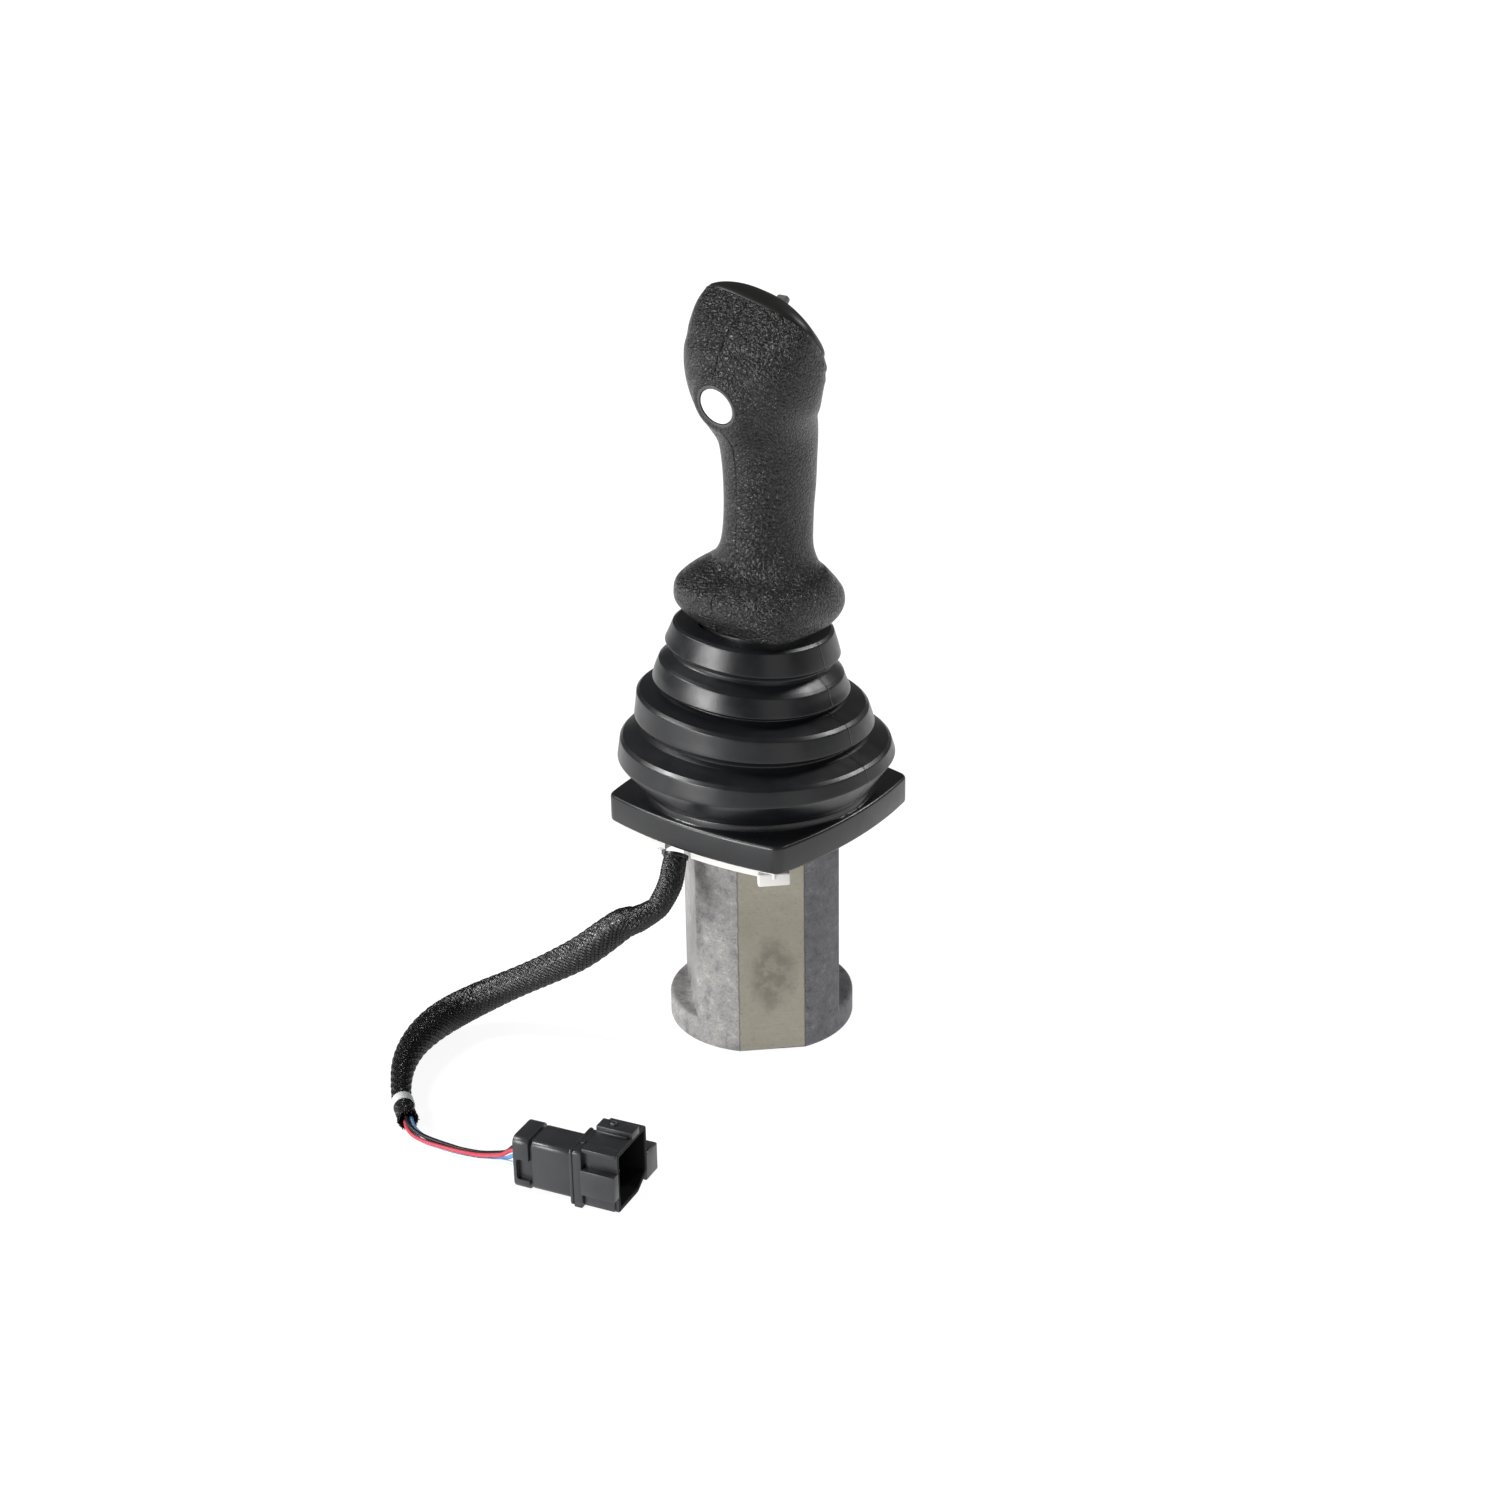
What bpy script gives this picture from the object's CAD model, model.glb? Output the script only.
import bpy
import bmesh
import math
import numpy as np
from mathutils import Matrix, Vector


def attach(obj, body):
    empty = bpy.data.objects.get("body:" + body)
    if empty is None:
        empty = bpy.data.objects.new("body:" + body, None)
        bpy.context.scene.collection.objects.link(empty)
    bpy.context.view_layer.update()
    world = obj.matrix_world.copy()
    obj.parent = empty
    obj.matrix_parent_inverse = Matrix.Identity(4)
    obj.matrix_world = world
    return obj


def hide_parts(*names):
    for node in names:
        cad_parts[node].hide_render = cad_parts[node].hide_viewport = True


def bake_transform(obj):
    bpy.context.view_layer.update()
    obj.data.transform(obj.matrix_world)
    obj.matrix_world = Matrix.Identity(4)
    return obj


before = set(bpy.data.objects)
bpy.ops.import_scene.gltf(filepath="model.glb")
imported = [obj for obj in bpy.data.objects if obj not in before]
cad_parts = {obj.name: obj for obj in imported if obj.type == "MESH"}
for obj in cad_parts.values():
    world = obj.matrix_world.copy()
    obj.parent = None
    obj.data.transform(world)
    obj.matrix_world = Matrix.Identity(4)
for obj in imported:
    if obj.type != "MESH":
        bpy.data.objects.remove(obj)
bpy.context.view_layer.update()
MM = 0.001
rng = np.random.default_rng(7)

# ---------------------------------------------------------------- camera
cam_data = bpy.data.cameras.new("cam")
cam = bpy.data.objects.new("cam", cam_data)
bpy.context.scene.collection.objects.link(cam)
bpy.context.scene.camera = cam
AZ, EL, ROLL = math.radians(38.4791), math.radians(23.7922), math.radians(0.8833)
back = Vector((math.sin(AZ) * math.cos(EL), -math.cos(AZ) * math.cos(EL), math.sin(EL)))
right0 = Vector((math.cos(AZ), math.sin(AZ), 0))
up0 = back.cross(right0)
right = right0 * math.cos(ROLL) - up0 * math.sin(ROLL)
up = right0 * math.sin(ROLL) + up0 * math.cos(ROLL)
cam.matrix_world = Matrix(((right.x, up.x, back.x, 0.59661), (right.y, up.y, back.y, -0.75597), (right.z, up.z, back.z, 0.54240), (0, 0, 0, 1)))
cam_data.sensor_width = 36.0
cam_data.lens = 63.006
cam_data.clip_start = 0.05
cam_data.clip_end = 30


# ---------------------------------------------------------------- mesh tools
def make(name, verts, faces, mats=(), smooth=True, sharp=35.0, mat_index=None, scale=MM):
    me = bpy.data.meshes.new(name)
    me.from_pydata((np.asarray(verts, float) * scale).tolist(), [], [list(map(int, f)) for f in faces])
    me.validate()
    bm = bmesh.new()
    bm.from_mesh(me)
    bmesh.ops.recalc_face_normals(bm, faces=bm.faces)
    bm.to_mesh(me)
    bm.free()
    for m in mats:
        me.materials.append(m)
    if mat_index is not None and len(mat_index) == len(me.polygons):
        me.polygons.foreach_set("material_index", np.asarray(mat_index, np.int32))
    if smooth:
        me.polygons.foreach_set("use_smooth", np.ones(len(me.polygons), bool))
        if sharp:
            me.set_sharp_from_angle(angle=math.radians(sharp))
    o = bpy.data.objects.new(name, me)
    bpy.context.scene.collection.objects.link(o)
    return o


def grid(rings, closed=True, cap0=False, cap1=False):
    """Verts and quads of a loft through equal rings."""
    rings = np.asarray(rings, float)
    k, n, _ = rings.shape
    v = rings.reshape(-1, 3)
    f = []
    m = n if closed else n - 1
    for i in range(k - 1):
        a = i * n
        for j in range(m):
            jj = (j + 1) % n
            f.append((a + j, a + jj, a + n + jj, a + n + j))
    if cap0:
        f.append(tuple(range(n - 1, -1, -1)))
    if cap1:
        f.append(tuple((k - 1) * n + j for j in range(n)))
    return v, f


def join_parts(parts):
    v, f, mi, base = [], [], [], 0
    for p in parts:
        pv, pf = np.asarray(p[0], float), p[1]
        idx = p[2] if len(p) > 2 else 0
        v.append(pv)
        f += [tuple(i + base for i in q) for q in pf]
        mi += [idx] * len(pf)
        base += len(pv)
    return np.vstack(v), f, mi


def catmull(rows, sub):
    rows = np.asarray(rows, float)
    p = np.vstack([2 * rows[0] - rows[1], rows, 2 * rows[-1] - rows[-2]])
    out = []
    for i in range(1, len(p) - 2):
        for s in range(sub):
            t = s / sub
            a, b, c, d = p[i - 1], p[i], p[i + 1], p[i + 2]
            out.append(0.5 * ((2 * b) + (c - a) * t + (2 * a - 5 * b + 4 * c - d) * t * t + (3 * b - a - 3 * c + d) * t ** 3))
    out.append(p[-2])
    return np.array(out)


def fillet(pts, radii, seg=5, closed=False):
    """Rounds the corners of a polyline."""
    pts = [np.array(p, float) for p in pts]
    n = len(pts)
    if np.isscalar(radii):
        radii = [radii] * n
    out = []
    for i in range(n):
        if not closed and i in (0, n - 1):
            out.append(pts[i])
            continue
        a, b, c = pts[i - 1], pts[i], pts[(i + 1) % n]
        u, w = a - b, c - b
        lu, lw = np.linalg.norm(u), np.linalg.norm(w)
        u, w = u / lu, w / lw
        cosang = np.clip(u @ w, -1, 1)
        half = math.acos(cosang) / 2
        if radii[i] <= 0 or half > 1.55:
            out.append(b)
            continue
        d = min(radii[i] / math.tan(half), 0.45 * lu, 0.45 * lw)
        r = d * math.tan(half)
        cen = b + (u + w) / np.linalg.norm(u + w) * (r / math.sin(half))
        s, e = b + u * d, b + w * d
        vs, ve = s - cen, e - cen
        ang = math.acos(np.clip(vs @ ve / (np.linalg.norm(vs) * np.linalg.norm(ve)), -1, 1))
        for k in range(seg + 1):
            t = k / seg
            q = (math.sin((1 - t) * ang) * vs + math.sin(t * ang) * ve) / max(math.sin(ang), 1e-9) if ang > 1e-6 else vs
            out.append(cen + q)
    return np.array(out)


def resample(pts, n, closed=False):
    p = np.asarray(pts, float)
    if closed:
        p = np.vstack([p, p[:1]])
    d = np.r_[0, np.cumsum(np.linalg.norm(np.diff(p, axis=0), axis=1))]
    t = np.linspace(0, d[-1], n + 1)[:-1] if closed else np.linspace(0, d[-1], n)
    return np.stack([np.interp(t, d, p[:, i]) for i in range(p.shape[1])], 1)


def box(x0, x1, y0, y1, z0, z1, bevel=0.3, seg=2):
    bm = bmesh.new()
    bmesh.ops.create_cube(bm, size=1)
    for v in bm.verts:
        v.co = Vector(((x0 + x1) / 2 + v.co.x * (x1 - x0), (y0 + y1) / 2 + v.co.y * (y1 - y0), (z0 + z1) / 2 + v.co.z * (z1 - z0)))
    if bevel > 0:
        bmesh.ops.bevel(bm, geom=bm.edges[:], offset=bevel, segments=seg, profile=0.5, affect="EDGES")
    bm.verts.ensure_lookup_table()
    v = np.array([x.co[:] for x in bm.verts])
    bm.verts.index_update()
    f = [tuple(q.index for q in g.verts) for g in bm.faces]
    bm.free()
    return v, f


def lathe(profile, n=96, close=False):
    """Profile of (r, z) turned about Z."""
    a = np.linspace(0, 2 * math.pi, n, endpoint=False)
    rings = [np.c_[r * np.cos(a), r * np.sin(a), np.full(n, z)] for r, z in profile]
    if close:
        rings.append(rings[0])
    return grid(rings)


def place(v, m):
    m = np.array(m)
    return np.asarray(v) @ m[:3, :3].T + m[:3, 3]


def rot_to(z, x=(1, 0, 0)):
    z = np.array(z, float); z /= np.linalg.norm(z)
    x = np.array(x, float); x -= z * (x @ z); x /= np.linalg.norm(x)
    y = np.cross(z, x)
    m = np.eye(4); m[:3, 0], m[:3, 1], m[:3, 2] = x, y, z
    return m


def boolean(o, cutter, op="DIFFERENCE"):
    mod = o.modifiers.new("b", "BOOLEAN")
    mod.operation = op
    mod.object = cutter
    mod.solver = "EXACT"
    dg = bpy.context.evaluated_depsgraph_get()
    me = bpy.data.meshes.new_from_object(o.evaluated_get(dg))
    old = o.data
    o.modifiers.clear()
    o.data = me
    me.name = o.name
    bpy.data.meshes.remove(old)
    bpy.data.objects.remove(cutter)
    me.polygons.foreach_set("use_smooth", np.ones(len(me.polygons), bool))
    me.set_sharp_from_angle(angle=math.radians(35))
    return o


# ---------------------------------------------------------------- materials
class Mat:
    """A small builder for node materials."""

    def __init__(self, name):
        self.m = bpy.data.materials.new(name)
        self.m.use_nodes = True
        self.t = self.m.node_tree
        self.t.nodes.clear()
        self.out = self.t.nodes.new("ShaderNodeOutputMaterial")
        self.p = self.t.nodes.new("ShaderNodeBsdfPrincipled")
        self.t.links.new(self.p.outputs[0], self.out.inputs[0])
        self.co = self.t.nodes.new("ShaderNodeTexCoord").outputs["Object"]
        self.last_bump = None

    def set(self, **kw):
        for k, v in kw.items():
            s = self.p.inputs[k.replace("_", " ")]
            s.default_value = (*v, 1) if isinstance(v, (tuple, list)) and len(v) == 3 and s.type == "RGBA" else v
        return self

    def link(self, a, b):
        self.t.links.new(a, b)

    def mapping(self, scale=(1, 1, 1), rot=(0, 0, 0), src=None):
        n = self.t.nodes.new("ShaderNodeMapping")
        n.inputs["Scale"].default_value = scale
        n.inputs["Rotation"].default_value = rot
        self.link(src or self.co, n.inputs["Vector"])
        return n.outputs[0]

    def noise(self, scale, detail=3, rough=0.55, vec=None, distort=0):
        n = self.t.nodes.new("ShaderNodeTexNoise")
        n.inputs["Scale"].default_value = scale
        n.inputs["Detail"].default_value = detail
        n.inputs["Roughness"].default_value = rough
        n.inputs["Distortion"].default_value = distort
        self.link(vec or self.co, n.inputs["Vector"])
        return n.outputs["Fac"]

    def voronoi(self, scale, feature="F1", vec=None, smooth=None, rand=1.0):
        n = self.t.nodes.new("ShaderNodeTexVoronoi")
        n.feature = feature
        n.inputs["Scale"].default_value = scale
        n.inputs["Randomness"].default_value = rand
        if smooth is not None and "Smoothness" in n.inputs:
            n.inputs["Smoothness"].default_value = smooth
        self.link(vec or self.co, n.inputs["Vector"])
        return n.outputs["Distance"]

    def ramp(self, fac, stops):
        n = self.t.nodes.new("ShaderNodeValToRGB")
        e = n.color_ramp.elements
        while len(e) < len(stops):
            e.new(0.5)
        for i, (p, c) in enumerate(stops):
            e[i].position = p
            e[i].color = (*c, 1) if isinstance(c, (tuple, list)) else (c, c, c, 1)
        self.link(fac, n.inputs[0])
        return n.outputs[0]

    def math(self, op, a, b=None, clamp=False):
        n = self.t.nodes.new("ShaderNodeMath")
        n.operation = op
        n.use_clamp = clamp
        for i, x in enumerate((a, b)):
            if x is None:
                continue
            if isinstance(x, (int, float)):
                n.inputs[i].default_value = x
            else:
                self.link(x, n.inputs[i])
        return n.outputs[0]

    def mix(self, fac, a, b):
        n = self.t.nodes.new("ShaderNodeMix")
        n.data_type = "RGBA"
        for key, x in (("Factor", fac),):
            if isinstance(x, (int, float)):
                n.inputs[0].default_value = x
            else:
                self.link(x, n.inputs[0])
        for i, x in ((6, a), (7, b)):
            if isinstance(x, (tuple, list)):
                n.inputs[i].default_value = (*x[:3], 1)
            else:
                self.link(x, n.inputs[i])
        return n.outputs[2]

    def bump(self, height, strength=0.3, dist=0.0002):
        n = self.t.nodes.new("ShaderNodeBump")
        n.inputs["Strength"].default_value = strength
        n.inputs["Distance"].default_value = dist
        self.link(height, n.inputs["Height"])
        if self.last_bump is not None:
            self.link(self.last_bump, n.inputs["Normal"])
        self.last_bump = n.outputs[0]
        self.link(n.outputs[0], self.p.inputs["Normal"])
        return self

    def color(self, sock):
        self.link(sock, self.p.inputs["Base Color"])
        return self

    def rough(self, sock):
        self.link(sock, self.p.inputs["Roughness"])
        return self


def plain(name, c, rough, var=0.12, scale=60, bump=0.12, bscale=1800, dist=0.00006, metal=0.0, spec=0.5):
    m = Mat(name)
    m.set(Metallic=metal)
    m.p.inputs["Specular IOR Level"].default_value = spec
    n = m.noise(scale, 4)
    lo = tuple(x * (1 - var) for x in c)
    hi = tuple(min(1, x * (1 + var)) for x in c)
    m.color(m.ramp(n, [(0.3, lo), (0.7, hi)]))
    m.rough(m.ramp(m.noise(scale * 3.1, 3), [(0.3, rough * 0.88), (0.7, min(1, rough * 1.12))]))
    m.bump(m.noise(bscale, 2), bump, dist)
    return m.m


def mul_of(m, a, b, f=1.0):
    n = m.t.nodes.new("ShaderNodeMix"); n.data_type = "RGBA"; n.blend_type = "MULTIPLY"; n.inputs[0].default_value = f
    m.link(a, n.inputs[6]); m.link(b, n.inputs[7])
    return n.outputs[2]


def warp(m, scale, amount):
    """Object coordinates pushed about by noise."""
    n = m.t.nodes.new("ShaderNodeTexNoise")
    n.inputs["Scale"].default_value = scale
    n.inputs["Detail"].default_value = 2
    m.link(m.co, n.inputs["Vector"])
    sub = m.t.nodes.new("ShaderNodeVectorMath"); sub.operation = "SUBTRACT"; sub.inputs[1].default_value = (0.5, 0.5, 0.5)
    m.link(n.outputs["Color"], sub.inputs[0])
    sc = m.t.nodes.new("ShaderNodeVectorMath"); sc.operation = "SCALE"; sc.inputs["Scale"].default_value = amount
    m.link(sub.outputs[0], sc.inputs[0])
    ad = m.t.nodes.new("ShaderNodeVectorMath"); ad.operation = "ADD"
    m.link(m.co, ad.inputs[0]); m.link(sc.outputs[0], ad.inputs[1])
    return ad.outputs[0]


def leather():
    m = Mat("grip_leather_grain")
    m.p.inputs["Specular IOR Level"].default_value = 0.5
    v = warp(m, 420, 0.0022)
    edge = m.voronoi(520, "DISTANCE_TO_EDGE", v)
    small = m.voronoi(1100, "DISTANCE_TO_EDGE", v)
    big = m.noise(170, 3)
    pebble = m.ramp(edge, [(0.0, 0.0), (0.16, 0.6), (0.40, 1.0)])
    fine = m.ramp(small, [(0.0, 0.0), (0.3, 1.0)])
    h = m.math("ADD", m.math("MULTIPLY", pebble, 0.75), m.math("MULTIPLY", fine, 0.25))
    h = m.math("MULTIPLY", h, m.ramp(big, [(0.3, 0.65), (0.68, 1.0)]))
    m.bump(h, 1.0, 0.00062)
    m.bump(m.noise(3600, 2), 0.3, 0.00006)
    m.color(m.mix(m.ramp(edge, [(0.0, 0.0), (0.12, 1.0)]), (0.0012, 0.0012, 0.0014), (0.0085, 0.0085, 0.0085)))
    m.rough(m.ramp(m.noise(700, 3), [(0.3, 0.26), (0.7, 0.37)]))
    return m.m


def rubber(name, base=(0.0062, 0.0066, 0.0080), rough=0.33, spec=0.5, seam=False):
    m = Mat(name)
    m.p.inputs["Specular IOR Level"].default_value = spec
    n = m.noise(38, 5, 0.6)
    m.color(m.ramp(n, [(0.3, tuple(x * 0.8 for x in base)), (0.72, tuple(x * 1.3 for x in base))]))
    m.rough(m.ramp(m.noise(120, 4), [(0.3, rough - 0.05), (0.7, rough + 0.07)]))
    m.bump(m.noise(1500, 3, 0.6), 0.20, 0.00008)
    m.bump(m.noise(90, 2), 0.08, 0.0006)
    if seam:
        # mould line on the +X side
        z = m.t.nodes.new("ShaderNodeSeparateXYZ"); m.link(warp(m, 60, 0.0016), z.inputs[0])
        d = m.math("ABSOLUTE", m.math("ADD", z.outputs["Y"], -0.001))
        line = m.math("MULTIPLY", m.ramp(m.math("MULTIPLY", d, 1000.0), [(0.22, 1.0), (0.5, 0.0)]), m.math("GREATER_THAN", z.outputs["X"], 0.0))
        m.bump(line, 0.9, 0.0004)
    return m.m


def edge_line(m, col, depth=0.55):
    """Darkens the ragged line where the milled face meets the casting."""
    z = m.t.nodes.new("ShaderNodeSeparateXYZ"); m.link(warp(m, 420, 0.0011), z.inputs[0])
    u = m.math("MULTIPLY", m.math("ADD", z.outputs["X"], z.outputs["Y"]), 0.70711)
    d = m.math("ABSOLUTE", m.math("SUBTRACT", m.math("ABSOLUTE", u), 0.01332))
    line = m.ramp(m.math("MULTIPLY", d, 1000.0), [(0.16, 1.0), (0.42, 0.0)])
    return m.mix(m.math("MULTIPLY", line, depth), col, (0.035, 0.033, 0.040))


def cast():
    m = Mat("cast_block")
    m.p.inputs["Specular IOR Level"].default_value = 0.3
    m.set(Metallic=0.1)
    n = m.noise(26, 5, 0.62)
    mid_ = m.noise(210, 5, 0.7)
    sp = m.noise(1100, 3, 0.7)
    base = m.ramp(n, [(0.28, (0.200, 0.197, 0.206)), (0.55, (0.255, 0.250, 0.257)), (0.78, (0.305, 0.295, 0.287))])
    blot = m.ramp(mid_, [(0.32, (0.52, 0.51, 0.54)), (0.46, (0.95, 0.95, 0.96)), (0.56, (1.02, 1.02, 1.01)), (0.66, (1.42, 1.40, 1.36))])
    dark = m.ramp(sp, [(0.33, (0.55, 0.54, 0.57)), (0.48, (1, 1, 1)), (0.72, (1.2, 1.2, 1.18))])
    col = mul_of(m, mul_of(m, base, blot, 0.8), dark, 0.6)
    st = m.noise(90, 2, 0.5, m.mapping((0.5, 0.5, 34)))
    scr = m.ramp(st, [(0.69, 0.0), (0.71, 1.0)])
    col = m.mix(m.math("MULTIPLY", scr, 0.3), col, (0.50, 0.49, 0.48))
    # the flank away from the milling cutter's side is left darker
    z = m.t.nodes.new("ShaderNodeSeparateXYZ"); m.link(m.co, z.inputs[0])
    side = m.math("ADD", z.outputs["X"], z.outputs["Y"])
    tone = m.ramp(m.math("ADD", m.math("MULTIPLY", side, 20.0), 0.5), [(0.40, (1.10, 1.09, 1.04)), (0.62, (0.60, 0.60, 0.63))])
    col = edge_line(m, mul_of(m, col, tone, 1.0))
    m.color(col)
    m.rough(m.ramp(n, [(0.3, 0.5), (0.7, 0.66)]))
    m.bump(mid_, 0.35, 0.0005)
    m.bump(sp, 0.4, 0.00022)
    return m.m


def milled():
    m = Mat("milled_face")
    m.p.inputs["Specular IOR Level"].default_value = 0.35
    m.set(Metallic=0.15)
    n = m.noise(30, 4, 0.6)
    streak = m.noise(60, 3, 0.6, m.mapping((1.6, 1.6, 26)))
    sp = m.noise(700, 4, 0.7)
    base = m.ramp(n, [(0.3, (0.240, 0.224, 0.180)), (0.6, (0.292, 0.274, 0.224)), (0.8, (0.330, 0.313, 0.262))])
    lines = m.ramp(streak, [(0.35, (0.93, 0.93, 0.94)), (0.55, (1, 1, 1)), (0.7, (1.03, 1.03, 1.02))])
    spots = m.ramp(sp, [(0.30, (0.72, 0.71, 0.72)), (0.44, (1, 1, 1)), (0.74, (1.1, 1.1, 1.08))])
    col = mul_of(m, mul_of(m, base, lines, 0.8), spots, 0.7)
    # an oily smear low on the face
    z = m.t.nodes.new("ShaderNodeSeparateXYZ"); m.link(warp(m, 95, 0.010), z.inputs[0])
    u = m.math("MULTIPLY", m.math("ADD", z.outputs["X"], z.outputs["Y"]), 70.711)
    du = m.math("POWER", m.math("DIVIDE", m.math("ADD", u, -0.10), 1.05), 2)
    dz = m.math("POWER", m.math("DIVIDE", m.math("ADD", z.outputs["Z"], -0.034), 0.019), 2)
    spot = m.ramp(m.math("ADD", du, dz), [(0.25, 1.0), (1.0, 0.0)])
    patch = m.math("MULTIPLY", spot, m.ramp(m.noise(190, 4, 0.65), [(0.40, 0.35), (0.58, 1.0)]))
    col = m.mix(m.math("MULTIPLY", patch, 0.62), col, (0.120, 0.100, 0.080))
    m.color(edge_line(m, col, 0.4))
    m.rough(m.ramp(streak, [(0.3, 0.38), (0.7, 0.52)]))
    m.bump(streak, 0.05, 0.0001)
    m.bump(sp, 0.22, 0.00012)
    return m.m


M = {
    "leather": leather(),
    "rubber": rubber("bellows_rubber", seam=True),
    "cover": rubber("cover_satin", (0.0085, 0.0088, 0.0102), 0.31, 0.55),
    "cast": cast(),
    "milled": milled(),
    "white": plain("white_moulding", (0.74, 0.73, 0.71), 0.5, 0.03, 40, 0.08, 900, spec=0.3),
    "cap": plain("cap_satin", (0.0090, 0.0088, 0.0080), 0.40, 0.14, 50, 0.06, 1600, spec=0.4),
    "toggle": plain("toggle_grey", (0.15, 0.15, 0.145), 0.5, 0.08, 80, 0.1, 1800, spec=0.3),
    "button": plain("button_white", (0.86, 0.86, 0.85), 0.35, 0.01, 60, 0.03, 900, spec=0.4),
    "bezel": plain("bezel_grey", (0.07, 0.07, 0.068), 0.45, 0.1, 80, 0.1, 1800, spec=0.3),
    "plug": plain("plug_plastic", (0.0215, 0.0222, 0.0250), 0.34, 0.22, 60, 0.2, 1400, 0.00008, spec=0.6),
    "mouth": plain("plug_mouth", (0.0035, 0.0036, 0.0042), 0.6, 0.2, 60, 0.15, 1400, 0.00008, spec=0.12),
    "lock": plain("lock_plastic", (0.030, 0.031, 0.034), 0.5, 0.1, 90, spec=0.25),
    "zinc": plain("zinc_steel", (0.56, 0.57, 0.58), 0.34, 0.08, 150, 0.1, 1500, 0.00005, 1.0),
    "steel": plain("ground_steel", (0.46, 0.47, 0.49), 0.26, 0.06, 200, 0.08, 2400, 0.00004, 1.0),
    "spring": plain("spring_wire", (0.30, 0.31, 0.33), 0.35, 0.08, 200, 0.1, 2400, 0.00004, 1.0),
    "bronze": plain("guide_bronze", (0.52, 0.36, 0.17), 0.33, 0.08, 160, 0.1, 1800, 0.00005, 1.0),
    "switch": plain("switch_black", (0.03, 0.03, 0.032), 0.5, 0.1, 90),
    "brass": plain("contact_brass", (0.20, 0.15, 0.085), 0.5, 0.15, 200, 0.05, 1800, 0.00003, 0.6),
    "red": plain("wire_red_skin", (0.52, 0.055, 0.085), 0.4, 0.08, 120, 0.08, 1500, spec=0.3),
    "black": plain("wire_black_skin", (0.011, 0.011, 0.012), 0.4, 0.1, 120, 0.08, 1500, spec=0.3),
    "blue": plain("wire_blue_skin", (0.20, 0.40, 0.74), 0.4, 0.2, 120, 0.08, 1500, spec=0.3),
    "wwhite": plain("wire_white_skin", (0.55, 0.66, 0.82), 0.4, 0.05, 120, 0.08, 1500, spec=0.3),
    "band": plain("band_white", (0.70, 0.71, 0.72), 0.45, 0.05, 120, 0.1, 1500, spec=0.3),
    "braid": plain("braid_black", (0.0055, 0.0055, 0.0065), 0.26, 0.25, 400, 0.15, 3000, 0.00004, spec=0.6),
    "core": plain("braid_core", (0.030, 0.030, 0.034), 0.5, 0.9, 420, 0.2, 1500, spec=0.2),
    "core_lit": None,
}

def core_lit():
    """The open weave lets the light through along its upper side."""
    m = Mat("braid_core_lit")
    n = m.noise(330, 3, 0.7)
    m.color(m.ramp(n, [(0.45, (0.06, 0.06, 0.065)), (0.53, (0.85, 0.85, 0.85)), (0.60, (0.98, 0.98, 0.98))]))
    m.rough(m.ramp(n, [(0.3, 0.5), (0.7, 0.4)]))
    return m.m


M["core_lit"] = core_lit()

CAD_MATS = {
    "zinc": ["retaining_plate", "plate_screws", "disc_lock_nut", "handle_lock_nut", "handle_adapter", "grip_screws", "toggle_pin"],
    "steel": ["lower_yoke", "cross_trunnion", "upper_yoke", "actuating_disc", "lever_rod", "spring_seats",
              "plunger_right", "plunger_back", "plunger_left", "plunger_front", "spool_right", "spool_back", "spool_left", "spool_front"],
    "spring": ["return_spring_right", "return_spring_back", "return_spring_left", "return_spring_front"],
    "bronze": ["plunger_guides"],
    "rubber": ["guide_o_rings"],
    "switch": ["toggle_switch", "button_switch"],
    "lock": ["wedge_lock"],
    "brass": ["contact_pins"],
}
for key, names in CAD_MATS.items():
    for n in names:
        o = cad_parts[n]
        o.data.materials.clear()
        o.data.materials.append(M[key])


# ---------------------------------------------------------------- lead (made early: its path sets the room it needs)
def smooth_path(pts, step):
    p = catmull(pts, 24)
    d = np.r_[0, np.cumsum(np.linalg.norm(np.diff(p[:, :3], axis=0), axis=1))]
    n = max(8, int(round(d[-1] / step)))
    t = np.linspace(0, d[-1], n + 1)
    return np.stack([np.interp(t, d, p[:, i]) for i in range(p.shape[1])], 1), d[-1]


def frames(p):
    t = np.gradient(p, axis=0)
    t /= np.linalg.norm(t, axis=1)[:, None]
    a = np.cross(t, [0, 0, 1.0]); a /= np.linalg.norm(a, axis=1)[:, None]
    b = np.cross(a, t)
    return t, a, b


SLEEVE = [[-6.2, -45.9, 86.3, 4.6], [-5.3, -48.2, 83.3, 4.9], [-4, -52.4, 77.1, 5.0], [-4.9, -56.9, 71.1, 4.8], [-6.4, -59.1, 68.4, 4.7],
          [-11.5, -63.3, 64.6, 5.4], [-14.8, -65, 63.2, 6.0], [-18.1, -66.6, 61.2, 6.4], [-24.2, -69.4, 55.5, 6.7], [-30.9, -71.5, 49.2, 6.7],
          [-38.6, -73.2, 42.9, 6.6], [-51.7, -74.9, 33.7, 6.3], [-65.2, -76.9, 24.8, 6.3], [-73.6, -79, 19.4, 6.5], [-80.8, -82.2, 14.8, 6.8],
          [-83.9, -84.4, 12.8, 6.9], [-88.4, -90.2, 9.8, 7.1], [-90.5, -98, 8, 7.1], [-89.5, -107.9, 7.3, 6.7],
          [-86.4, -118.4, 6.5, 5.9], [-80.7, -129.1, 5.6, 5.0], [-72.5, -139.2, 4.8, 4.2], [-62.1, -149.2, 4.5, 3.95], [-50.9, -157.3, 4.5, 3.95]]
sl4, SL_LEN = smooth_path(SLEEVE, 0.6)
sl, SL_R = sl4[:, :3], sl4[:, 3]
st, sa, sb = frames(sl)
S = np.linspace(0, SL_LEN, len(sl))


def sleeve_r(s):
    s = np.asarray(s, float)
    r = np.interp(s, S, SL_R)
    return r + 0.25 * np.exp(-((s - SL_LEN) / 3) ** 2)   # the loose end opens a little


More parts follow.
